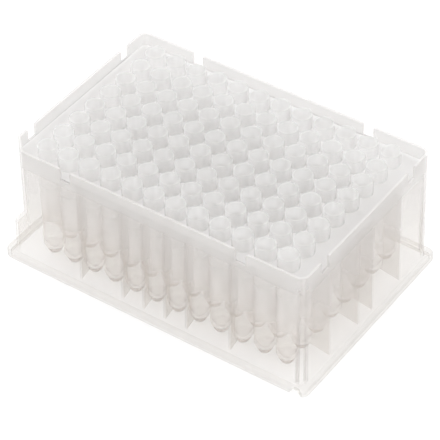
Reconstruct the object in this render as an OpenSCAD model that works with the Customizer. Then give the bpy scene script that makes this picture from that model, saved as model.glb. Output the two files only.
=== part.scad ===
// Deep-well plate with 96 round wells, moulded in one piece of natural polypropylene.
// The origin is in the middle of the footprint, on the surface that the plate stands on.
// +X runs along the twelve columns, +Y along the eight rows, and +Z up through the well mouths.

/* [Footprint] */
// Length over the flange, along the columns
plate_l = 127.76; // [124:0.01:140]
// Width over the flange, along the rows
plate_w = 85.48; // [83:0.01:100]
// Height from the table to the rim and the well mouths
plate_h = 50; // [35:0.5:70]

/* [Flange] */
// Height of the flange's lip
lip_h = 3; // [2.4:0.1:6]
// Thickness of the lip and of the ledge that joins it to the wall
lip_t = 1.2; // [0.8:0.05:1.8]
// Width of the ledge outside the foot of the wall
ledge_w = 2.08; // [1.6:0.02:3]
// Corner radius of the flange
lip_r = 3; // [2:0.1:5]
// Distance from the plate's end to the middle of the orientation notch in the lip
key_inset = 3.9; // [3.4:0.1:12]
// Width of the orientation notch at the table
key_foot_w = 4.6; // [2:0.1:6]
// Width of the orientation notch at its top
key_top_w = 1.8; // [0.8:0.1:2]
// Height of the orientation notch above the table
key_h = 2.6; // [0.8:0.1:2.7]

/* [Wall] */
// Thickness of the wall
wall_t = 0.9; // [0.8:0.05:1.5]
// How far each wall leans inwards between its foot and the rim
wall_draft = 1; // [0.4:0.05:1.6]
// Outer corner radius at the rim, which grows by the draft towards the foot
rim_r = 3.2; // [2:0.1:5]

/* [Rim notches] */
// Width of each notch in the rim
notch_w = 4; // [2:0.1:6]
// Depth of each notch below the rim
notch_h = 5; // [2:0.1:7]
// Radius of the two shoulders of a notch
notch_r = 1; // [0.2:0.1:1.5]
// Columns between a long wall's notch and the nearer end
notch_column = 2; // [1:1:3]
// Rows between a short wall's notch and the nearer side
notch_row = 1; // [1:1:2]

/* [Cut corner] */
// How far the cut runs along each wall from the square corner
cut_leg = 6; // [4:0.1:7]
// Height of the step under the cut corner
cut_step_z = 15.3; // [8:0.1:25]
// Thickness of the step
cut_step_t = 1.2; // [0.8:0.05:2]

/* [Wells] */
// Number of wells along X
columns = 12; // [8:2:12]
// Number of wells along Y
rows = 8; // [6:2:8]
// Distance between neighbouring wells
pitch = 9; // [8.5:0.05:9.3]
// Inner diameter of a well
bore_d = 6.85; // [5:0.05:7.2]
// Thickness of a well's wall
well_t = 0.45; // [0.35:0.05:0.6]
// Height of a well's outer tip above the table
tip_z = 0.8; // [0.5:0.1:2]
// Outer radius of the rounded tip
tip_r = 2.7; // [2:0.1:2.8]
// Height above the tip at which a well starts to narrow
taper_h = 4.8; // [4:0.1:8]
// Thickness of a well's rounded floor
floor_t = 2.5; // [0.8:0.1:4]
// Inner radius of the rounded floor
floor_r = 2; // [1.2:0.1:2.2]
// Height above the floor at which a bore starts to narrow
bore_taper_h = 3.8; // [3:0.1:6]

/* [Deck] */
// Depth of the deck below the rim
deck_drop = 5.2; // [3:0.1:8]
// Thickness of the deck
deck_t = 1.3; // [0.8:0.05:2.5]

/* [Ribs] */
// Thickness of a rib between the wall and a well
rib_t = 1; // [0.6:0.05:1.6]
// How far a rib's lower edge rises from the wall to the well
rib_rise = 1.5; // [0:0.1:4]

/* [Hidden] */
$fn = 48;

// Long enough to run past any face that a cut leaves through.
PAST = 1;

// Places of the ribs, in pitches from the middle of the wall they stand on.
LONG_RIBS = [0.5, 1.5, 3.5];
SHORT_RIBS = [0.5, 2.5];

// Half sizes of the wall's outside at its foot, which stands on the ledge.
foot_x = plate_l / 2 - ledge_w;
foot_y = plate_w / 2 - ledge_w;
ledge_under_z = lip_h - lip_t;

// How far a wall has leaned inwards at height z.
function lean(z) = wall_draft * (z - lip_h) / (plate_h - lip_h);

// Radius of the outer corners at height z, about fixed upright axes.
function corner_r(z) = rim_r + wall_draft - lean(z);

deck_top_z = plate_h - deck_drop;
deck_under_z = deck_top_z - deck_t;

well_r = bore_d / 2 + well_t;
floor_z = tip_z + floor_t;

// Distance from the upright axis through the plate's middle to the cut corner's face.
cut_reach = (foot_x - wall_draft + foot_y - wall_draft - cut_leg) / sqrt(2);

// Half-angle of the cone that leaves radius r at height h over the bottom and touches the end ball.
function cone_angle(r, h, ball_r) = atan2(r, h - ball_r) - asin(ball_r / norm([r, h - ball_r]));

// A block with rounded upright corners and leaning sides, set in by inset from the wall's outside.
module leaning_block(z0, z1, inset) {
    axis_x = foot_x - wall_draft - rim_r;
    axis_y = foot_y - wall_draft - rim_r;
    r0 = corner_r(z0) - inset;
    r1 = corner_r(z1) - inset;
    rotate([90, 0, 0]) linear_extrude(2 * axis_y, center = true)
        upright_trapezoid(axis_x + r0, axis_x + r1, z0, z1);
    rotate([90, 0, 90]) linear_extrude(2 * axis_x, center = true)
        upright_trapezoid(axis_y + r0, axis_y + r1, z0, z1);
    for (x = [-axis_x, axis_x], y = [-axis_y, axis_y])
        translate([x, y, z0]) cylinder(h = z1 - z0, r1 = r0, r2 = r1);
}

module upright_trapezoid(half0, half1, z0, z1) {
    polygon([[-half0, z0], [half0, z0], [half1, z1], [-half1, z1]]);
}

// What lies beyond the cut corner's face, from z0 up, with the face set in by inset.
module beyond_cut(z0, inset) {
    reach = cut_reach - inset;
    rotate([0, 0, 225]) translate([reach, -plate_w / 2, z0])
        cube([plate_l, plate_w, plate_h]);
}

// The space inside the walls between two heights, clear of the cut corner's own wall.
module inside(z0, z1) {
    difference() {
        leaning_block(z0, z1, wall_t);
        beyond_cut(cut_step_z - cut_step_t, wall_t);
    }
}

// The walls' outside, standing on the flange as one solid block.
module outside() {
    rounded_plate(plate_l, plate_w, lip_h, lip_r);
    difference() {
        leaning_block(lip_h - lip_t / 2, plate_h, 0);
        beyond_cut(cut_step_z, 0);
    }
}

module rounded_plate(l, w, h, r) {
    linear_extrude(h) {
        square([l - 2 * r, w], center = true);
        square([l, w - 2 * r], center = true);
        for (x = [-1, 1], y = [-1, 1])
            translate([x * (l / 2 - r), y * (w / 2 - r)]) circle(r);
    }
}

// Walls, flange and deck: the deck is what stays between the room below it and the tray above it.
module shell() {
    difference() {
        outside();
        inside(-PAST, deck_under_z);
        inside(deck_top_z, plate_h + PAST);
        translate([0, 0, -PAST])
            rounded_plate(plate_l - 2 * lip_t, plate_w - 2 * lip_t, ledge_under_z + PAST, lip_r - lip_t);
        orientation_notch();
        rim_notches();
    }
}

// The keystone-shaped gap in the front lip beside the right corner.
module orientation_notch() {
    translate([plate_l / 2 - key_inset, lip_t - plate_w / 2, 0])
        rotate([90, 0, 0]) linear_extrude(lip_t + PAST)
            polygon([[-key_foot_w / 2, 0], [key_foot_w / 2, 0], [key_top_w / 2, key_h],
                     [-key_top_w / 2, key_h]]);
}

// A notch's outline, with its mouth at height 0: straight sides that flare into rounded shoulders.
module notch_outline() {
    translate([-notch_w / 2, -notch_h]) square([notch_w, notch_h + PAST]);
    difference() {
        translate([-notch_w / 2 - notch_r, -notch_r]) square([notch_w + 2 * notch_r, notch_r + PAST]);
        for (side = [-1, 1])
            translate([side * (notch_w / 2 + notch_r), -notch_r]) circle(notch_r);
    }
}

// Two notches in line, cut through both walls that face along Y.
module notch_pair(place, reach) {
    for (side = [-1, 1])
        translate([side * place, 0, plate_h]) rotate([90, 0, 0])
            linear_extrude(2 * reach, center = true) notch_outline();
}

module rim_notches() {
    notch_pair((columns / 2 - notch_column) * pitch, foot_y + PAST);
    rotate([0, 0, 90]) notch_pair((rows / 2 - notch_row) * pitch, foot_x + PAST);
}

// A tube outside or a bore inside: straight, then a cone that runs into a ball at the bottom.
module round_ended(r, z0, z1, taper, ball_r) {
    angle = cone_angle(r, taper, ball_r);
    touch_z = ball_r - ball_r * sin(angle);
    translate([0, 0, z0]) {
        translate([0, 0, taper]) cylinder(h = z1 - z0 - taper, r = r);
        translate([0, 0, touch_z]) cylinder(h = taper - touch_z, r1 = ball_r * cos(angle), r2 = r);
        translate([0, 0, ball_r]) sphere(ball_r);
    }
}

module at_wells() {
    for (column = [1:columns], row = [1:rows])
        translate([(column - (columns + 1) / 2) * pitch, (row - (rows + 1) / 2) * pitch, 0]) children();
}

module wells() {
    at_wells() round_ended(well_r, tip_z, plate_h, taper_h, tip_r);
}

module bores() {
    at_wells() round_ended(bore_d / 2, floor_z, plate_h + PAST, bore_taper_h, floor_r);
}

// Upright webs from the walls that face along Y to the wells beside them.
module wall_ribs(places, outer_well, foot) {
    for (place = places, side = [-1, 1], end = [-1, 1])
        translate([side * place * pitch, 0, 0]) rotate([0, 0, end * 90]) rotate([90, 0, 0])
            linear_extrude(rib_t, center = true)
                polygon([[outer_well, lip_h + rib_rise],
                         [foot - wall_t / 2, lip_h],
                         [foot - wall_t / 2 - lean(deck_top_z), deck_top_z],
                         [outer_well, deck_top_z]]);
}

module ribs() {
    wall_ribs(LONG_RIBS, (rows - 1) / 2 * pitch, foot_y);
    rotate([0, 0, 90]) wall_ribs(SHORT_RIBS, (columns - 1) / 2 * pitch, foot_x);
}

module plate() {
    color([0.93, 0.94, 0.94, 0.6]) difference() {
        union() {
            shell();
            ribs();
            wells();
        }
        bores();
    }
}

plate();
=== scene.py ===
"""The looks of a translucent 96-well deep-well plate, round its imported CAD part.

The plate is one moulding: a walled skirt on a flange, a deck, 96 round wells and the ribs between the
outer wells and the walls. Each is modelled here by itself, and they are united into one closed mesh.
"""

import sys

import logging
import math
from dataclasses import dataclass
from enum import Enum
from typing import Callable

import bpy
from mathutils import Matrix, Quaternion, Vector

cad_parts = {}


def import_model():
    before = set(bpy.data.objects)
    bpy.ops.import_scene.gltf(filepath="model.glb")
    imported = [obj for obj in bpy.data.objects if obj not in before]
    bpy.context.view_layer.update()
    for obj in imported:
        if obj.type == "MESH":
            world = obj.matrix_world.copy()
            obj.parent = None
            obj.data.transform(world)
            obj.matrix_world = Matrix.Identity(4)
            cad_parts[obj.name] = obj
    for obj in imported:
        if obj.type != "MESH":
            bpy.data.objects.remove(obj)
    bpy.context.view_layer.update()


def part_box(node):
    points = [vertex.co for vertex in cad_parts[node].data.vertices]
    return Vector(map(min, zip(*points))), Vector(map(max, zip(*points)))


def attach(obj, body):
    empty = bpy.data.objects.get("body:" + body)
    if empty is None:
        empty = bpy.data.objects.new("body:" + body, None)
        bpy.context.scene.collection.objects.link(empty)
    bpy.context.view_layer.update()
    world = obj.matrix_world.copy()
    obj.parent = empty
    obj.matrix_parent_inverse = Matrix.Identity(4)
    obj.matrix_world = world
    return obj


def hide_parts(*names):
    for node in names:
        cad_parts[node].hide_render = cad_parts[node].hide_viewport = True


LOG = logging.getLogger("plate")
MM = 0.001
NODE = "plate"

# Cosines over which a direction counts as along an axis, and as more along it than across it.
ALONG = 0.99
MOSTLY_ALONG = 0.5
# Points that lie closer together than this are one point.
SAME_PLACE = 0.002 * MM
# Sockets of a Mix node that mixes colours.
MIX_FACTOR, MIX_A, MIX_B, MIX_RESULT = 0, 6, 7, 2

Triple = tuple[float, float, float]
Outline = list[tuple[float, float]]
Source = bpy.types.NodeSocket | float | tuple[float, ...]


class Element(Enum):
    """The kind of element that is selected in edit mode."""

    VERTEX = "VERT"
    EDGE = "EDGE"
    FACE = "FACE"


class Cut(Enum):
    """How one closed mesh acts on another."""

    TAKE_AWAY = "DIFFERENCE"
    UNITE = "UNION"


class Wall(Enum):
    """The pair of walls that something stands on or is cut through, and its turn about Z."""

    LONG = 0.0
    SHORT = math.pi / 2


# --------------------------------------------------------------------------------------------------
# Modelling steps that several pieces use
# --------------------------------------------------------------------------------------------------


def deselect() -> None:
    """Leaves nothing selected and no object in edit mode."""
    if bpy.context.object and bpy.context.object.mode != "OBJECT":
        bpy.ops.object.mode_set(mode="OBJECT")
    bpy.ops.object.select_all(action="DESELECT")


def make_active(thing: bpy.types.Object) -> None:
    """Makes one object the only selected one, and the active one.

    Args:
        thing: the object.
    """
    deselect()
    thing.select_set(True)
    bpy.context.view_layer.objects.active = thing


def delete(thing: bpy.types.Object) -> None:
    """Deletes an object together with its mesh.

    Args:
        thing: the object.
    """
    mesh = thing.data
    bpy.data.objects.remove(thing)
    bpy.data.meshes.remove(mesh)


def edit(thing: bpy.types.Object, element: Element) -> None:
    """Enters edit mode on an object, with nothing selected.

    Args:
        thing: the object to edit.
        element: what is going to be selected.
    """
    make_active(thing)
    bpy.ops.object.mode_set(mode="EDIT")
    bpy.ops.mesh.select_mode(type=element.value)
    bpy.ops.mesh.select_all(action="DESELECT")


def pick(thing: bpy.types.Object, element: Element, test: Callable[[Vector, Vector], bool]) -> None:
    """Enters edit mode with the vertices, edges or faces selected that pass a test.

    Args:
        thing: the object to edit.
        element: what to select.
        test: given a place and a direction, says whether to select. They are a vertex's place and
            normal, an edge's middle and its own direction, or a face's middle and normal.
    """
    edit(thing, element)
    bpy.ops.object.mode_set(mode="OBJECT")
    mesh = thing.data
    if element is Element.VERTEX:
        for vertex in mesh.vertices:
            vertex.select = test(vertex.co, vertex.normal)
    elif element is Element.EDGE:
        for line in mesh.edges:
            a, b = (mesh.vertices[i].co for i in line.vertices)
            line.select = test((a + b) / 2, (b - a).normalized())
    else:
        for face in mesh.polygons:
            face.select = test(face.center, face.normal)
    bpy.ops.object.mode_set(mode="EDIT")


def add_block(name: str, size: Triple, middle: Triple, turn: float = 0.0) -> bpy.types.Object:
    """Adds a block whose size and place are in its mesh.

    Args:
        name: the object's name.
        size: the block's sides along X, Y and Z.
        middle: where its middle lies.
        turn: its angle about Z.

    Returns:
        The new object, at the origin and unturned.
    """
    deselect()
    bpy.ops.mesh.primitive_cube_add(size=1, location=middle, rotation=(0, 0, turn), scale=size)
    block = bpy.context.object
    block.name = name
    bpy.ops.object.transform_apply(location=True, rotation=True, scale=True)
    return block


def round_upright_edges(block: bpy.types.Object, radius: float, steps: int) -> None:
    """Rounds the upright edges of a block.

    Args:
        block: the block.
        radius: the radius that they get.
        steps: how many faces make up each of them.
    """
    pick(block, Element.EDGE, lambda middle, along: abs(along.z) > ALONG)
    bpy.ops.mesh.bevel(offset=radius, offset_type="OFFSET", segments=steps, affect="EDGES")
    deselect()


def apply_modifier(thing: bpy.types.Object, kind: str, **settings: object) -> None:
    """Gives the active object a modifier and applies it at once.

    Args:
        thing: the active object.
        kind: the modifier's type.
        settings: values for its properties.
    """
    bpy.ops.object.modifier_add(type=kind)
    modifier = thing.modifiers[-1]
    for name, value in settings.items():
        setattr(modifier, name, value)
    bpy.ops.object.modifier_apply(modifier=modifier.name)


def combine(thing: bpy.types.Object, other: bpy.types.Object, cut: Cut) -> None:
    """Unites an object with another one, or takes the other one away from it, and deletes the other.

    Args:
        thing: the object that is changed.
        other: the one that acts on it.
        cut: what is done.
    """
    make_active(thing)
    apply_modifier(thing, "BOOLEAN", operation=cut.value, solver="MANIFOLD", object=other)
    deselect()
    delete(other)


def joined(things: list[bpy.types.Object]) -> bpy.types.Object:
    """Joins several objects into one.

    Args:
        things: the objects.

    Returns:
        The first of them, which now holds all the meshes.
    """
    make_active(things[0])
    for thing in things:
        thing.select_set(True)
    bpy.ops.object.join()
    deselect()
    return things[0]


def copy_of(thing: bpy.types.Object, shift: Vector, turn: float = 0.0) -> bpy.types.Object:
    """Copies an object with its own mesh, moves it and turns it about the plate's upright axis.

    Args:
        thing: the object to copy.
        shift: how far the copy moves, before it is turned.
        turn: the angle about Z.

    Returns:
        The copy, with its place and its turn in its mesh.
    """
    make_active(thing)
    bpy.ops.object.duplicate(linked=False)
    copy = bpy.context.object
    copy.location = shift
    bpy.ops.object.transform_apply(location=True, rotation=False, scale=False)
    copy.rotation_euler = (0, 0, turn)
    bpy.ops.object.transform_apply(location=False, rotation=True, scale=False)
    deselect()
    return copy


# --------------------------------------------------------------------------------------------------
# Sizes
# --------------------------------------------------------------------------------------------------


@dataclass
class PlateSizes:
    """Every size of the plate, in metres, with the overall ones read from the CAD part's box."""

    length: float
    width: float
    height: float
    lip_height: float = 3 * MM
    lip_thickness: float = 1.2 * MM
    ledge_width: float = 2.08 * MM
    lip_radius: float = 3 * MM
    key_inset: float = 3.9 * MM
    key_foot_width: float = 4.6 * MM
    key_top_width: float = 1.8 * MM
    key_height: float = 2.6 * MM
    wall_thickness: float = 0.9 * MM
    draft: float = 1 * MM
    rim_radius: float = 3.2 * MM
    notch_width: float = 4 * MM
    notch_depth: float = 5 * MM
    notch_radius: float = 1 * MM
    long_notch_at: float = 36 * MM
    short_notch_at: float = 27 * MM
    cut_leg: float = 6 * MM
    cut_step_height: float = 15.3 * MM
    cut_step_thickness: float = 1.2 * MM
    columns: int = 12
    rows: int = 8
    pitch: float = 9 * MM
    bore_radius: float = 3.425 * MM
    well_wall: float = 0.45 * MM
    tip_height: float = 0.8 * MM
    tip_radius: float = 2.7 * MM
    taper_height: float = 4.8 * MM
    floor_thickness: float = 2.5 * MM
    floor_radius: float = 2 * MM
    bore_taper_height: float = 3.8 * MM
    deck_drop: float = 5.2 * MM
    deck_thickness: float = 1.3 * MM
    rib_thickness: float = 1 * MM
    rib_rise: float = 1.5 * MM

    @classmethod
    def from_frame(cls) -> "PlateSizes":
        """Returns the sizes for the CAD part that is loaded."""
        low, high = (Vector(corner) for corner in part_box(NODE))
        return cls(length=high.x - low.x, width=high.y - low.y, height=high.z - low.z)

    @property
    def foot(self) -> tuple[float, float]:
        """Half the length and half the width over the walls, where they stand on the ledge."""
        return self.length / 2 - self.ledge_width, self.width / 2 - self.ledge_width

    @property
    def deck_top(self) -> float:
        """Height of the deck's upper face."""
        return self.height - self.deck_drop

    @property
    def deck_under(self) -> float:
        """Height of the deck's under face."""
        return self.deck_top - self.deck_thickness

    @property
    def well_radius(self) -> float:
        """Outer radius of a well."""
        return self.bore_radius + self.well_wall

    @property
    def cut_reach(self) -> float:
        """Distance of the cut corner's face from the upright line through the plate's middle."""
        x, y = self.foot
        return (x + y - 2 * self.draft - self.cut_leg) / math.sqrt(2)

    def lean(self, z: float) -> float:
        """Returns how far the walls have leaned inwards at height z."""
        return self.draft * (z - self.lip_height) / (self.height - self.lip_height)


# --------------------------------------------------------------------------------------------------
# Pieces
# --------------------------------------------------------------------------------------------------


@dataclass
class Skirt:
    """The walls with their flange, deck, cut corner and notches."""

    sizes: PlateSizes
    corner_steps: int = 8
    shoulder_steps: int = 5
    hole_steps: int = 24
    edge_radius: float = 0.2 * MM
    edge_steps: int = 2
    flat_under: float = math.radians(0.5)
    sharp_over: float = math.radians(40)
    cut_turn: float = math.radians(225)
    past: float = 1 * MM

    def block(self, name: str, half_x: float, half_y: float, low: float, high: float,
              radius: float) -> bpy.types.Object:
        """Makes a block with rounded upright corners.

        Args:
            name: the object's name.
            half_x: half its length.
            half_y: half its width.
            low: the height at which it starts.
            high: the height at which it ends.
            radius: the radius of its corners.

        Returns:
            The block, over the plate's middle.
        """
        block = add_block(name, (2 * half_x, 2 * half_y, high - low), (0, 0, (low + high) / 2))
        round_upright_edges(block, radius, self.corner_steps)
        return block

    def leaning(self, name: str, low: float, high: float, inset: float) -> bpy.types.Object:
        """Makes a block under the walls' foot, whose top is drawn up and in to where the walls lean.

        Args:
            name: the object's name.
            low: the height at which it starts, below the walls' foot.
            high: the height at which it ends.
            inset: how far it lies inside the walls' outside.

        Returns:
            The block.
        """
        s = self.sizes
        half_x, half_y = (half - inset for half in s.foot)
        block = self.block(name, half_x, half_y, low, s.lip_height, s.rim_radius + s.draft - inset)
        pick(block, Element.FACE, lambda middle, normal: normal.z > ALONG)
        bpy.ops.mesh.inset(thickness=s.lean(high), depth=high - s.lip_height, use_even_offset=True)
        deselect()
        return block

    def beyond_cut(self, low: float, inset: float) -> bpy.types.Object:
        """Makes the block that takes the corner off.

        Args:
            low: the height from which it cuts.
            inset: how far its face lies inside the cut corner's outside.

        Returns:
            The block.
        """
        s = self.sizes
        along = (s.cut_reach - inset + s.width / 2) / math.sqrt(2)
        return add_block("corner_cutter", (s.width, s.width, s.height),
                         (-along, -along, low + s.height / 2), self.cut_turn)

    def tray(self) -> bpy.types.Object:
        """Makes the room above the deck, which widens a little downwards as the walls lean.

        Returns:
            The room as a block.
        """
        s = self.sizes
        half_x, half_y = (half - s.draft - s.wall_thickness for half in s.foot)
        tray = self.block("tray", half_x, half_y, s.height, s.height + self.past,
                          s.rim_radius - s.wall_thickness)
        wider = s.draft - s.lean(s.deck_top)
        pick(tray, Element.FACE, lambda middle, normal: normal.z < -ALONG)
        bpy.ops.mesh.extrude_region_move(TRANSFORM_OT_translate={"value": (0, 0, -s.deck_drop)})
        bpy.ops.transform.resize(value=(1 + wider / half_x, 1 + wider / half_y, 1))
        deselect()
        combine(tray, self.beyond_cut(s.deck_top - self.past, s.wall_thickness), Cut.TAKE_AWAY)
        return tray

    def room_below(self) -> bpy.types.Object:
        """Makes the room that the wells hang in, from under the table up to the deck.

        Returns:
            The room as a block.
        """
        s = self.sizes
        room = self.leaning("room", -self.past, s.deck_under, s.wall_thickness)
        cutter = self.beyond_cut(s.cut_step_height - s.cut_step_thickness, s.wall_thickness)
        combine(room, cutter, Cut.TAKE_AWAY)
        return room

    def lip_hollow(self) -> bpy.types.Object:
        """Returns the room inside the lip, under the ledge."""
        s = self.sizes
        return self.block("hollow", s.length / 2 - s.lip_thickness, s.width / 2 - s.lip_thickness,
                          -self.past, s.lip_height - s.lip_thickness, s.lip_radius - s.lip_thickness)

    def key(self) -> bpy.types.Object:
        """Makes the keystone shape of the orientation notch in the front lip.

        Returns:
            The shape, which starts below the table.
        """
        s = self.sizes
        x, y = s.length / 2 - s.key_inset, -s.width / 2
        slope = (s.key_foot_width - s.key_top_width) / 2 / s.key_height
        foot_width = s.key_foot_width + 2 * slope * self.past
        key = add_block("key", (foot_width, 2 * s.lip_thickness, s.key_height + self.past),
                        (x, y, (s.key_height - self.past) / 2))
        pick(key, Element.VERTEX, lambda place, normal: place.z > 0)
        bpy.ops.transform.resize(value=(s.key_top_width / foot_width, 1, 1), center_override=(x, y, 0))
        deselect()
        return key

    def rim_notch(self, place: float, reach: float, wall: Wall) -> bpy.types.Object:
        """Makes the shape of two notches in line through a pair of walls, with rounded shoulders.

        Args:
            place: how far along the walls the notches lie.
            reach: half the distance over the walls that they pass through.
            wall: the pair of walls.

        Returns:
            The shape, in its place.
        """
        s = self.sizes
        straight = s.notch_depth - s.notch_radius
        mouth = s.notch_width + 2 * s.notch_radius
        notch = add_block("notch", (s.notch_width, 2 * reach, straight),
                          (0, 0, s.height - s.notch_depth + straight / 2))
        turns = [math.pi / 2 * step / self.shoulder_steps for step in range(self.shoulder_steps + 1)]
        for before, turn in zip(turns, turns[1:]):
            rise = s.notch_radius * (math.sin(turn) - math.sin(before))
            width, previous = (mouth - 2 * s.notch_radius * math.cos(t) for t in (turn, before))
            self.raise_top(notch, rise, width / previous)
        self.raise_top(notch, self.past, 1.0)
        placed = copy_of(notch, Vector((place, 0, 0)), wall.value)
        delete(notch)
        return placed

    @staticmethod
    def raise_top(block: bpy.types.Object, rise: float, widen: float) -> None:
        """Draws the top face of a block up by a step and widens it along X.

        Args:
            block: the block.
            rise: how far the face goes up.
            widen: what its width is multiplied by.
        """
        top = max(vertex.co.z for vertex in block.data.vertices)
        pick(block, Element.FACE,
             lambda middle, normal: normal.z > ALONG and middle.z > top - SAME_PLACE)
        bpy.ops.mesh.extrude_region_move(TRANSFORM_OT_translate={"value": (0, 0, rise)})
        bpy.ops.transform.resize(value=(widen, 1, 1), center_override=(0, 0, top + rise))
        deselect()

    def soften_edges(self, skirt: bpy.types.Object) -> None:
        """Rounds every sharp edge by the small radius that a mould leaves.

        Args:
            skirt: the skirt, whose flat faces are first made whole again.
        """
        edit(skirt, Element.FACE)
        bpy.ops.mesh.select_all(action="SELECT")
        bpy.ops.mesh.remove_doubles(threshold=SAME_PLACE)
        bpy.ops.mesh.dissolve_limited(angle_limit=self.flat_under)
        make_active(skirt)
        apply_modifier(skirt, "BEVEL", width=self.edge_radius, segments=self.edge_steps,
                       limit_method="ANGLE", angle_limit=self.sharp_over, use_clamp_overlap=False,
                       miter_outer="MITER_ARC")
        deselect()

    def drill(self, skirt: bpy.types.Object) -> None:
        """Takes a round hole out of the deck at each well, whose rim ends inside the well's wall.

        Args:
            skirt: the skirt.
        """
        s = self.sizes
        deselect()
        bpy.ops.mesh.primitive_cylinder_add(
            vertices=self.hole_steps, radius=s.bore_radius + s.well_wall / 2,
            depth=s.deck_thickness + 2 * self.past, location=(0, 0, s.deck_top - s.deck_thickness / 2))
        drill = bpy.context.object
        bpy.ops.object.transform_apply(location=True, rotation=True, scale=True)
        spread_over_grid(drill, s)
        combine(skirt, drill, Cut.TAKE_AWAY)

    def build(self) -> bpy.types.Object:
        """Builds the whole skirt.

        Returns:
            The skirt as one closed mesh.
        """
        s = self.sizes
        skirt = self.leaning("skirt", s.lip_height - s.lip_thickness / 2, s.height, 0)
        combine(skirt, self.beyond_cut(s.cut_step_height, 0), Cut.TAKE_AWAY)
        flange = self.block("flange", s.length / 2, s.width / 2, 0, s.lip_height, s.lip_radius)
        combine(skirt, flange, Cut.UNITE)
        for cutter in (self.room_below(), self.tray(), self.lip_hollow()):
            combine(skirt, cutter, Cut.TAKE_AWAY)
        reach_x, reach_y = (half + self.past for half in s.foot)
        for side in (-1, 1):
            combine(skirt, self.rim_notch(side * s.long_notch_at, reach_y, Wall.LONG), Cut.TAKE_AWAY)
            combine(skirt, self.rim_notch(side * s.short_notch_at, reach_x, Wall.SHORT), Cut.TAKE_AWAY)
        self.soften_edges(skirt)
        combine(skirt, self.key(), Cut.TAKE_AWAY)
        self.drill(skirt)
        return skirt


def spread_over_grid(thing: bpy.types.Object, sizes: PlateSizes) -> None:
    """Copies what stands in the middle over all the wells' places, as one mesh.

    Args:
        thing: the object, which becomes that mesh.
        sizes: the plate's sizes.
    """
    make_active(thing)
    for count, step in ((sizes.columns, (sizes.pitch, 0, 0)), (sizes.rows, (0, sizes.pitch, 0))):
        apply_modifier(thing, "ARRAY", count=count, use_relative_offset=False,
                       use_constant_offset=True, constant_offset_displace=step)
    edit(thing, Element.VERTEX)
    bpy.ops.mesh.select_all(action="SELECT")
    bpy.ops.transform.translate(value=(-(sizes.columns - 1) / 2 * sizes.pitch,
                                       -(sizes.rows - 1) / 2 * sizes.pitch, 0))
    deselect()


@dataclass
class Wells:
    """The round wells, each a tube with a tapered, rounded end and a rounded mouth."""

    sizes: PlateSizes
    turns: int = 32
    ball_steps: int = 4
    lip_steps: int = 4

    @staticmethod
    def round_end(radius: float, taper: float, ball: float, steps: int) -> Outline:
        """Works out a rounded end's outline, from its lowest point to where the straight tube starts.

        Args:
            radius: radius of the straight tube.
            taper: height over the end at which the tube starts to narrow.
            ball: radius of the ball that the end closes with.
            steps: how many parts the ball's arc has.

        Returns:
            The radius and the height over the end at each point.
        """
        angle = math.atan2(radius, taper - ball) - math.asin(ball / math.hypot(radius, taper - ball))
        arc = math.pi / 2 - angle
        points = [(ball * math.sin(arc * k / steps), ball - ball * math.cos(arc * k / steps))
                  for k in range(steps + 1)]
        return points + [(radius, taper)]

    def outline(self) -> Outline:
        """Works out a well's section, from the tip's middle over the mouth to the floor's middle.

        Returns:
            The radius and the height at each point.
        """
        s = self.sizes
        outside = [(r, z + s.tip_height) for r, z in
                   self.round_end(s.well_radius, s.taper_height, s.tip_radius, self.ball_steps)]
        lip = s.well_wall / 2
        mouth = [(s.well_radius - lip + lip * math.cos(math.pi * k / self.lip_steps),
                  s.height - lip + lip * math.sin(math.pi * k / self.lip_steps))
                 for k in range(self.lip_steps + 1)]
        floor = s.tip_height + s.floor_thickness
        inside = [(r, z + floor) for r, z in
                  self.round_end(s.bore_radius, s.bore_taper_height, s.floor_radius, self.ball_steps)]
        return outside + mouth + inside[::-1]

    def build_one(self) -> bpy.types.Object:
        """Spins one well from its outline about its own axis.

        Returns:
            The well, with its axis through the origin.
        """
        outline = self.outline()
        deselect()
        bpy.ops.mesh.primitive_plane_add(size=self.sizes.pitch, location=(0, 0, 0))
        well = bpy.context.object
        well.name = "well"
        edit(well, Element.VERTEX)
        bpy.ops.mesh.select_all(action="SELECT")
        bpy.ops.mesh.merge(type="CENTER")
        bpy.ops.transform.translate(value=(outline[0][0], 0, outline[0][1]))
        for (r0, z0), (r1, z1) in zip(outline, outline[1:]):
            bpy.ops.mesh.extrude_region_move(TRANSFORM_OT_translate={"value": (r1 - r0, 0, z1 - z0)})
        bpy.ops.mesh.select_all(action="SELECT")
        bpy.ops.mesh.spin(steps=self.turns, angle=math.tau, center=(0, 0, 0), axis=(0, 0, 1))
        bpy.ops.mesh.select_all(action="SELECT")
        bpy.ops.mesh.remove_doubles(threshold=SAME_PLACE)
        bpy.ops.mesh.normals_make_consistent(inside=False)
        deselect()
        return well

    def build(self) -> bpy.types.Object:
        """Builds all the wells.

        Returns:
            One mesh of separate closed bodies.
        """
        wells = self.build_one()
        spread_over_grid(wells, self.sizes)
        return wells


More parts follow.
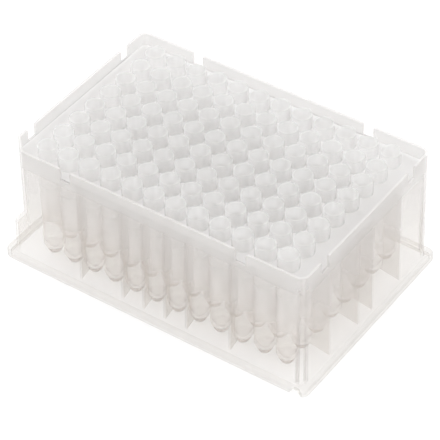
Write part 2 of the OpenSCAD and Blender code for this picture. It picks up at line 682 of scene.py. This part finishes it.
@dataclass
class Ribs:
    """The upright webs between the walls and the outer wells.

    Their places are counted in pitches from the middle of the wall that they stand on.
    """

    sizes: PlateSizes
    long_places: tuple[float, ...] = (0.5, 1.5, 3.5)
    short_places: tuple[float, ...] = (0.5, 2.5)
    edge_radius: float = 0.15 * MM
    edge_steps: int = 2
    into_well: float = 0.37 * MM

    def build_one(self, wall: Wall) -> bpy.types.Object:
        """Makes one web, between the middle of a wall and a well.

        Args:
            wall: the pair of walls that it is for.

        Returns:
            The web, on the side of +Y.
        """
        s = self.sizes
        count, foot = (s.rows, s.foot[1]) if wall is Wall.LONG else (s.columns, s.foot[0])
        start = (count - 1) / 2 * s.pitch + s.well_radius - self.into_well
        end = foot - s.wall_thickness / 2
        middle = (start + end) / 2
        top = s.deck_top - s.deck_thickness / 2
        rib = add_block(f"rib_{wall.name.lower()}", (s.rib_thickness, end - start, top - s.lip_height),
                        (0, middle, (top + s.lip_height) / 2))
        pick(rib, Element.VERTEX, lambda place, normal: place.z < top / 2 and place.y < middle)
        bpy.ops.transform.translate(value=(0, 0, s.rib_rise))
        pick(rib, Element.VERTEX, lambda place, normal: place.z > top / 2 and place.y > middle)
        bpy.ops.transform.translate(value=(0, -s.lean(top), 0))
        pick(rib, Element.EDGE,
             lambda place, along: place.z < top / 2 and abs(along.y) > MOSTLY_ALONG)
        bpy.ops.mesh.bevel(offset=self.edge_radius, segments=self.edge_steps, affect="EDGES")
        deselect()
        return rib

    def build(self) -> bpy.types.Object:
        """Builds all the webs.

        Returns:
            One mesh of separate closed bodies.
        """
        ribs = []
        for wall, places in ((Wall.LONG, self.long_places), (Wall.SHORT, self.short_places)):
            first = self.build_one(wall)
            for place in places:
                for side in (-1, 1):
                    for end in (0, math.pi):
                        shift = Vector((side * place * self.sizes.pitch, 0, 0))
                        ribs.append(copy_of(first, shift, wall.value + end))
            delete(first)
        return joined(ribs)


# --------------------------------------------------------------------------------------------------
# Finishes
# --------------------------------------------------------------------------------------------------


class Graph:
    """A node tree with short ways to add nodes, set their values and link them."""

    def __init__(self, tree: bpy.types.NodeTree) -> None:
        """Starts on an existing tree."""
        self.tree = tree

    def add(self, kind: str, **values: object) -> bpy.types.Node:
        """Adds a node.

        Args:
            kind: its type.
            values: values for its own properties.

        Returns:
            The node.
        """
        node = self.tree.nodes.new(kind)
        for name, value in values.items():
            setattr(node, name, value)
        return node

    def feed(self, node: bpy.types.Node, name: str | int, source: Source) -> None:
        """Gives an input a fixed value, or links it from another node's output.

        Args:
            node: the node.
            name: its input, by name or number.
            source: the value or the output.
        """
        if isinstance(source, bpy.types.NodeSocket):
            self.tree.links.new(source, node.inputs[name])
        else:
            node.inputs[name].default_value = source

    def maths(self, how: str, *sources: Source) -> bpy.types.NodeSocket:
        """Calculates with values or outputs.

        Args:
            how: the operation.
            sources: what it is fed with, in order.

        Returns:
            The result.
        """
        node = self.add("ShaderNodeMath", operation=how)
        for index, source in enumerate(sources):
            self.feed(node, index, source)
        return node.outputs[0]

    def shares(self, *parts: tuple[bpy.types.NodeSocket, float]) -> bpy.types.NodeSocket:
        """Returns the sum of two outputs, each times its share."""
        return self.maths("ADD", *(self.maths("MULTIPLY", output, share) for output, share in parts))

    def spread(self, value: bpy.types.NodeSocket, low: Source, high: Source, start: float = 0.0,
               end: float = 1.0, how: str = "LINEAR") -> bpy.types.NodeSocket:
        """Spreads a value's own range between two others.

        Args:
            value: the value.
            low: the result where the value is at start or under it.
            high: the result where it is at end or over it.
            start: where the value's range starts.
            end: where it ends.
            how: the interpolation.

        Returns:
            The result.
        """
        node = self.add("ShaderNodeMapRange", interpolation_type=how)
        for name, source in (("Value", value), ("From Min", start), ("From Max", end),
                             ("To Min", low), ("To Max", high)):
            self.feed(node, name, source)
        return node.outputs["Result"]

    def blend(self, factor: bpy.types.NodeSocket, a: Source, b: Source,
              how: str = "MIX") -> bpy.types.NodeSocket:
        """Mixes two colours.

        Args:
            factor: how much of the second one is in the mix.
            a: the first colour.
            b: the second colour.
            how: the blend type.

        Returns:
            The mixed colour.
        """
        node = self.add("ShaderNodeMix", data_type="RGBA", blend_type=how)
        for socket, source in ((MIX_FACTOR, factor), (MIX_A, a), (MIX_B, b)):
            self.feed(node, socket, source)
        return node.outputs[MIX_RESULT]

    def noise(self, place: bpy.types.NodeSocket, scale: bpy.types.NodeSocket,
              detail: float) -> bpy.types.NodeSocket:
        """Reads a noise at a place.

        Args:
            place: the place.
            scale: the noise's scale.
            detail: how many finer layers it has.

        Returns:
            The noise's value.
        """
        node = self.add("ShaderNodeTexNoise")
        for name, source in (("Vector", place), ("Scale", scale), ("Detail", detail)):
            self.feed(node, name, source)
        return node.outputs["Fac"]


@dataclass(frozen=True)
class MouldedHaze:
    """The effect that all the finishes share: a haze that varies, and a fine moulded skin.

    The haze is made of slow clouds and of flow lines that are drawn out upwards, and the flow lines are
    in the skin as well.
    """

    cloud_in_haze: float = 0.6
    flow_in_haze: float = 0.4
    haze_from: float = 0.3
    haze_to: float = 0.7
    skin_in_height: float = 0.7
    flow_in_height: float = 0.3
    flow_shape: Triple = (1.0, 1.0, 0.08)
    cloud_detail: float = 3.0
    flow_detail: float = 2.0
    skin_detail: float = 4.0

    def make(self) -> bpy.types.NodeTree:
        """Makes the node group.

        Returns:
            The group, with the inputs Vector, Cloud Scale, and Skin Scale for flow and skin, and the
            outputs Haze from 0 to 1, and Height for bump.
        """
        tree = bpy.data.node_groups.new("moulded_haze", "ShaderNodeTree")
        for name, way, kind in (("Vector", "INPUT", "Vector"), ("Cloud Scale", "INPUT", "Float"),
                                ("Skin Scale", "INPUT", "Float"), ("Haze", "OUTPUT", "Float"),
                                ("Height", "OUTPUT", "Float")):
            tree.interface.new_socket(name, in_out=way, socket_type=f"NodeSocket{kind}")
        graph = Graph(tree)
        given = graph.add("NodeGroupInput").outputs
        result = graph.add("NodeGroupOutput")
        drawn = graph.add("ShaderNodeMapping")
        graph.feed(drawn, "Vector", given["Vector"])
        graph.feed(drawn, "Scale", self.flow_shape)
        cloud = graph.noise(given["Vector"], given["Cloud Scale"], self.cloud_detail)
        flow = graph.noise(drawn.outputs["Vector"], given["Skin Scale"], self.flow_detail)
        skin = graph.noise(given["Vector"], given["Skin Scale"], self.skin_detail)
        haze = graph.shares((cloud, self.cloud_in_haze), (flow, self.flow_in_haze))
        graph.feed(result, "Haze", graph.spread(haze, 0.0, 1.0, self.haze_from, self.haze_to))
        graph.feed(result, "Height", graph.shares((skin, self.skin_in_height),
                                                  (flow, self.flow_in_height)))
        return tree


@dataclass(frozen=True)
class Zone:
    """How the plastic looks up to a height, above which it fades into the next zone.

    The body is how much one face hides of what lies behind it, seen square on and edge on.
    """

    tint: Triple
    body: float
    edge_body: float
    top: float = 0.0
    fade: float = 0.0


@dataclass(frozen=True)
class NaturalPolypropylene:
    """Unpigmented polypropylene: hazy, soft in its gloss, denser where it is seen edge on, and darker
    there by painted shade for the dark outlines that refraction draws.
    """

    name: str
    zones: tuple[Zone, ...]
    body_from_within: float = 1.0
    dense_tint: Triple = (0.96, 0.955, 0.95)
    # Colour multiplied in where a face is seen edge on: painted shade for the dark outlines of
    # refraction.
    edge_painted_shade: Triple = (0.6, 0.58, 0.57)
    edge_blend: float = 0.25
    edge_power: float = 2.0
    body_variation: float = 0.02
    roughness: float = 0.3
    roughness_variation: float = 0.1
    skin_height: float = 0.0015 * MM
    skin_strength: float = 0.25
    cloud_scale: float = 70.0
    skin_scale: float = 900.0
    refraction: float = 1.49

    def by_height(self, graph: Graph, place: bpy.types.NodeSocket) -> tuple[Source, Source, Source]:
        """Makes the nodes that change the plastic with the height.

        Args:
            graph: the material's nodes.
            place: where a point lies.

        Returns:
            The tint, the body and the body edge on, each a plain value or a node's output.
        """
        split = graph.add("ShaderNodeSeparateXYZ")
        graph.feed(split, "Vector", place)
        lowest, *others = self.zones
        tint, body, edge_body = (*lowest.tint, 1), lowest.body, lowest.edge_body
        for below, zone in zip(self.zones, others):
            above = graph.spread(split.outputs["Z"], 0.0, 1.0, below.top, below.top + below.fade,
                                 "SMOOTHSTEP")
            tint = graph.blend(above, tint, (*zone.tint, 1))
            body = graph.spread(above, body, zone.body)
            edge_body = graph.spread(above, edge_body, zone.edge_body)
        return tint, body, edge_body

    def make(self, group: bpy.types.NodeTree) -> bpy.types.Material:
        """Makes the material.

        Args:
            group: the haze effect that all the finishes share.

        Returns:
            The material.
        """
        material = bpy.data.materials.new(self.name)
        material.use_nodes = True
        graph = Graph(material.node_tree)
        shader = material.node_tree.nodes["Principled BSDF"]
        place = graph.add("ShaderNodeTexCoord").outputs["Object"]
        haze = graph.add("ShaderNodeGroup", node_tree=group)
        for name, source in (("Vector", place), ("Cloud Scale", self.cloud_scale),
                             ("Skin Scale", self.skin_scale)):
            graph.feed(haze, name, source)
        amount = haze.outputs["Haze"]
        slant = graph.add("ShaderNodeLayerWeight")
        graph.feed(slant, "Blend", self.edge_blend)
        steep = graph.maths("POWER", slant.outputs["Facing"], self.edge_power)
        behind = graph.add("ShaderNodeNewGeometry").outputs["Backfacing"]
        bump = graph.add("ShaderNodeBump")
        for name, source in (("Strength", self.skin_strength), ("Distance", self.skin_height),
                             ("Height", haze.outputs["Height"])):
            graph.feed(bump, name, source)
        tint, body, edge_body = self.by_height(graph, place)
        tint = graph.blend(amount, tint, (*self.dense_tint, 1), "MULTIPLY")
        # Painted shade: the colour darkens where a face is seen edge on, in place of the dark outlines
        # of refraction.
        tint = graph.blend(steep, tint, (*self.edge_painted_shade, 1), "MULTIPLY")
        body = graph.maths("MULTIPLY_ADD", amount, self.body_variation, body)
        body = graph.maths("MULTIPLY", graph.spread(steep, body, edge_body),
                           graph.spread(behind, 1.0, self.body_from_within))
        roughness = graph.spread(amount, self.roughness, self.roughness + self.roughness_variation)
        for name, source in (("Base Color", tint), ("Alpha", body), ("Roughness", roughness),
                             ("Normal", bump.outputs["Normal"]), ("IOR", self.refraction)):
            graph.feed(shader, name, source)
        return material


class Region(Enum):
    """A region of the plate's surface, and the place of its material in the mesh's list."""

    WALL = 0
    FLANGE = 1
    DECK = 2
    WELL = 3
    BORE = 4
    RIB = 5
    CORNER = 6


FINISHES: dict[Region, NaturalPolypropylene] = {
    # The walls' tints are darker than the wells' top. This is partly the plastic's own warm tint and
    # partly painted shade for sides that get less light than the top. The zone at the rim's top is
    # lighter: a painted highlight for the bright line along the rim.
    Region.WALL: NaturalPolypropylene("polypropylene_walls_painted_shade_and_highlight", (
        Zone((0.74, 0.68, 0.61), 0.07, 0.5, top=2 * MM, fade=36 * MM),
        Zone((0.75, 0.72, 0.695), 0.235, 0.5, top=40 * MM, fade=4 * MM),
        Zone((0.72, 0.7, 0.68), 0.33, 0.5, top=49.6 * MM, fade=0.4 * MM),
        Zone((0.84, 0.82, 0.81), 0.42, 0.5))),
    # The flange is tinted darker than the plastic elsewhere. This is painted shade for the dark lines
    # along the ledge's edges.
    Region.FLANGE: NaturalPolypropylene("polypropylene_flange_painted_shade", (Zone((0.7, 0.66, 0.61), 0.14, 0.8),)),
    # The deck is tinted darker than the wells' top. This is painted shade for the recessed deck, which
    # less light reaches.
    Region.DECK: NaturalPolypropylene("polypropylene_deck_painted_shade", (Zone((0.78, 0.77, 0.765), 0.4, 0.6),)),
    Region.WELL: NaturalPolypropylene("polypropylene_wells", (
        Zone((0.56, 0.49, 0.44), 0.5, 0.75, top=4.2 * MM, fade=0.8 * MM),
        Zone((0.84, 0.77, 0.71), 0.09, 0.72, top=8 * MM, fade=16 * MM),
        Zone((0.92, 0.895, 0.875), 0.36, 0.44, top=25 * MM, fade=13 * MM),
        Zone((0.99, 0.99, 0.99), 0.2, 0.3)), body_from_within=0.3),
    Region.BORE: NaturalPolypropylene("polypropylene_bores", (
        Zone((0.85, 0.79, 0.74), 0.1, 0.5, top=9 * MM, fade=12 * MM),
        Zone((0.985, 0.99, 0.99), 0.45, 0.45)), body_from_within=0.3),
    Region.RIB: NaturalPolypropylene("polypropylene_ribs", (
        Zone((0.72, 0.67, 0.62), 0.2, 0.6, top=14 * MM, fade=14 * MM),
        Zone((0.78, 0.755, 0.735), 0.3, 0.5))),
    # The rounded upright corners are tinted dark. This is painted shade for the dark band that
    # refraction draws along a rounded corner.
    Region.CORNER: NaturalPolypropylene("polypropylene_corners_painted_shade", (
        Zone((0.55, 0.51, 0.48), 0.3, 0.7, top=16 * MM, fade=20 * MM),
        Zone((0.7, 0.67, 0.645), 0.27, 0.5))),
}


@dataclass
class Moulding:
    """The whole plate as one closed mesh, with a finish for each region of its surface."""

    sizes: PlateSizes
    webs: Ribs
    smooth_under: float = math.radians(32)
    corner_shade_bend: tuple[float, float] = (0.12, 0.5)
    near: float = 0.01 * MM

    @staticmethod
    def unite(skirt: bpy.types.Object, ribs: bpy.types.Object,
              wells: bpy.types.Object) -> bpy.types.Object:
        """Unites the pieces in the skirt's object, and names it for the whole.

        Args:
            skirt: the walls, flange and deck.
            ribs: the webs.
            wells: the wells.

        Returns:
            The plate as one closed mesh.
        """
        combine(skirt, ribs, Cut.UNITE)
        combine(skirt, wells, Cut.UNITE)
        skirt.name = skirt.data.name = "moulded_plate"
        return skirt

    def shade(self, plate: bpy.types.Object) -> None:
        """Shades the curved faces smooth and keeps the flat ones flat.

        Args:
            plate: the plate.
        """
        make_active(plate)
        bpy.ops.object.shade_smooth_by_angle(angle=self.smooth_under)
        apply_modifier(plate, "WEIGHTED_NORMAL", keep_sharp=True)
        deselect()

    def from_well(self, place: Vector) -> float:
        """Measures how far a place lies from the upright axis of the well nearest to it.

        Args:
            place: the place.

        Returns:
            The distance.
        """
        s = self.sizes
        off = []
        for value, count in ((place.x, s.columns), (place.y, s.rows)):
            nearest = round(value / s.pitch + (count - 1) / 2)
            nearest = min(max(nearest, 0), count - 1)
            off.append(value - (nearest - (count - 1) / 2) * s.pitch)
        return math.hypot(*off)

    def on_a_rib(self, corners: list[Vector]) -> bool:
        """Tells whether all of a face's corners lie within the thickness of one web.

        Args:
            corners: the places of the face's corners.

        Returns:
            True for a face of a web.
        """
        s = self.sizes
        for along, count, places in ((0, s.rows, self.webs.long_places),
                                     (1, s.columns, self.webs.short_places)):
            beyond = (count - 1) / 2 * s.pitch
            for place in places:
                if all(abs(abs(c[along]) - place * s.pitch) < s.rib_thickness / 2 + self.near
                       and abs(c[1 - along]) > beyond and c.z < s.deck_under + self.near
                       for c in corners):
                    return True
        return False

    def region_of(self, middle: Vector, normal: Vector, corners: list[Vector]) -> Region:
        """Tells which region a face belongs to, by where all of it lies.

        Args:
            middle: the face's middle.
            normal: its normal.
            corners: the places of its corners.

        Returns:
            The region. The cut corner counts as wall, and so does all that is none of the others.
        """
        s = self.sizes
        beyond_foot = any(abs(c.x) > s.foot[0] + self.near or abs(c.y) > s.foot[1] + self.near
                          for c in corners)
        if beyond_foot and all(c.z < s.lip_height + self.near for c in corners):
            return Region.FLANGE
        if abs(normal.z) > ALONG and any(abs(middle.z - z) < self.near
                                         for z in (s.deck_top, s.deck_under)):
            return Region.DECK
        if all(self.from_well(c) < s.well_radius + self.near for c in corners):
            off = self.from_well(middle)
            inwards = self.from_well(middle + normal * self.near) < off
            return Region.BORE if inwards and off < s.bore_radius + self.near else Region.WELL
        if self.on_a_rib(corners):
            return Region.RIB
        # Faces of the rounded upright corners, whose normals lie between these bounds, get the painted
        # shade.
        least, most = self.corner_shade_bend
        bent = least < min(abs(normal.x), abs(normal.y)) < most and max(middle.x, middle.y) > 0
        if bent and s.lip_height < middle.z < s.deck_under:
            return Region.CORNER
        return Region.WALL

    def dress(self, plate: bpy.types.Object) -> None:
        """Gives each region of the surface its finish. The finishes of the walls, flange, deck and
        rounded corners carry painted shade, and the walls' rim top a painted highlight.

        Args:
            plate: the plate.
        """
        group = MouldedHaze().make()
        mesh = plate.data
        mesh.materials.clear()
        for region in Region:
            mesh.materials.append(FINISHES[region].make(group))
        for face in mesh.polygons:
            corners = [mesh.vertices[i].co for i in face.vertices]
            face.material_index = self.region_of(face.center, face.normal, corners).value

    def build(self, skirt: bpy.types.Object, ribs: bpy.types.Object,
              wells: bpy.types.Object) -> bpy.types.Object:
        """Finishes the plate, which stands for the CAD part.

        Args:
            skirt: the walls, flange and deck.
            ribs: the webs.
            wells: the wells.

        Returns:
            The plate.
        """
        plate = self.unite(skirt, ribs, wells)
        self.shade(plate)
        self.dress(plate)
        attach(plate, "root")
        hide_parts(NODE)
        return plate


def report(name: str, thing: bpy.types.Object) -> None:
    """Logs a piece with its number of triangles and of edges at which its mesh is open.

    Args:
        name: what the piece is called in the log.
        thing: the piece.
    """
    mesh = thing.data
    triangles = sum(len(face.vertices) - 2 for face in mesh.polygons)
    uses: dict[tuple[int, int], int] = {}
    for face in mesh.polygons:
        for key in face.edge_keys:
            uses[key] = uses.get(key, 0) + 1
    open_edges = sum(1 for count in uses.values() if count != 2)
    LOG.info("%s: %d triangles, %d open edges", name, triangles, open_edges)


# --------------------------------------------------------------------------------------------------
# Studio
# --------------------------------------------------------------------------------------------------


def seen_directly(graph: Graph) -> bpy.types.NodeSocket:
    """Returns 1 for rays that show the surroundings to the eye, and 0 for rays that carry light."""
    path = graph.add("ShaderNodeLightPath").outputs
    return graph.maths("MAXIMUM", path["Is Camera Ray"], path["Is Transmission Ray"])


@dataclass
class Studio:
    """A white table under a wide, soft sky, and the camera."""

    sky: float = 1.6
    horizon: float = 0.7
    sky_tint: Triple = (0.98, 0.99, 1.0)
    horizon_tint: Triple = (1.0, 0.985, 0.97)
    table_radius: float = 2.0
    table_border: float = 0.2
    table_steps: int = 96
    table_roughness: float = 0.9
    table_colour: float = 0.95
    table_seen: float = 0.58
    table_glow: float = 0.45
    azimuth: float = math.radians(35.06)
    elevation: float = math.radians(41.5)
    roll: float = math.radians(-0.57)
    distance: float = 0.7905
    aim: Triple = (0.0, 0.0, 0.020)
    slide: tuple[float, float] = (0.000236, -0.002261)
    lens: float = 184.5
    sensor: float = 36.0
    nearest: float = 0.01
    farthest: float = 50.0

    def build_sky(self) -> None:
        """Lights the object from all round, more from above, and shows white behind it."""
        world = bpy.data.worlds.new("soft_sky")
        bpy.context.scene.world = world
        world.use_nodes = True
        graph = Graph(world.node_tree)
        shade = world.node_tree.nodes["Background"]
        split = graph.add("ShaderNodeSeparateXYZ")
        graph.feed(split, "Vector", graph.add("ShaderNodeTexCoord").outputs["Generated"])
        up = split.outputs["Z"]
        light = graph.spread(up, self.horizon, self.sky)
        tint = graph.blend(graph.spread(up, 0.0, 1.0), (*self.horizon_tint, 1), (*self.sky_tint, 1))
        seen = seen_directly(graph)
        graph.feed(shade, "Color", graph.blend(seen, tint, (1, 1, 1, 1)))
        graph.feed(shade, "Strength", graph.spread(seen, light, 1.0))

    def build_table(self) -> bpy.types.Object:
        """Makes the table top, a wide disc with a border.

        Returns:
            The table.
        """
        deselect()
        bpy.ops.mesh.primitive_circle_add(vertices=self.table_steps, radius=self.table_radius,
                                          fill_type="NGON", location=(0, 0, 0))
        table = bpy.context.object
        table.name = "table"
        pick(table, Element.FACE, lambda middle, normal: True)
        bpy.ops.mesh.inset(thickness=self.table_border)
        deselect()
        material = bpy.data.materials.new("table_white")
        material.use_nodes = True
        graph = Graph(material.node_tree)
        seen = seen_directly(graph)
        lit, shown, glow = ((value, value, value, 1)
                            for value in (self.table_colour, self.table_seen, self.table_glow))
        for name, source in (("Roughness", self.table_roughness), ("Specular IOR Level", 0.0),
                             ("Emission Strength", 1.0), ("Base Color", graph.blend(seen, lit, shown)),
                             ("Emission Color", graph.blend(seen, (0, 0, 0, 1), glow))):
            graph.feed(material.node_tree.nodes["Principled BSDF"], name, source)
        table.data.materials.append(material)
        return table

    def build_camera(self) -> None:
        """Puts the camera at the angle from which the plate is shown."""
        back = Vector((math.sin(self.azimuth) * math.cos(self.elevation),
                       -math.cos(self.azimuth) * math.cos(self.elevation), math.sin(self.elevation)))
        turn = (-back).to_track_quat("-Z", "Y") @ Quaternion((0, 0, 1), self.roll)
        deselect()
        bpy.ops.object.camera_add()
        camera = bpy.context.object
        camera.name = "camera"
        side = turn @ Vector((*self.slide, 0))
        camera.location = Vector(self.aim) + back * self.distance + side
        camera.rotation_euler = turn.to_euler()
        camera.data.lens = self.lens
        camera.data.sensor_width = self.sensor
        camera.data.clip_start = self.nearest
        camera.data.clip_end = self.farthest
        bpy.context.scene.camera = camera

    def build(self) -> bpy.types.Object:
        """Builds the whole studio and lets light pass through many thin walls.

        Returns:
            The table.
        """
        scene = bpy.context.scene
        scene.view_settings.view_transform = "Standard"
        scene.cycles.max_bounces = 48
        scene.cycles.diffuse_bounces = 32
        scene.cycles.glossy_bounces = 8
        scene.cycles.transmission_bounces = 32
        scene.cycles.transparent_max_bounces = 64
        self.build_sky()
        table = self.build_table()
        self.build_camera()
        return table


def main() -> None:
    """Builds the plate and its studio round the loaded CAD part."""
    logging.basicConfig(level=logging.INFO, format="%(message)s", stream=sys.stdout)
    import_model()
    sizes = PlateSizes.from_frame()
    skirt = Skirt(sizes).build()
    report("skirt", skirt)
    webs = Ribs(sizes)
    ribs = webs.build()
    report("ribs", ribs)
    wells = Wells(sizes).build()
    report("wells", wells)
    plate = Moulding(sizes, webs).build(skirt, ribs, wells)
    report("moulded plate", plate)
    table = Studio().build()
    report("table, which is a flat disc", table)


if __name__ == "__main__":
    main()
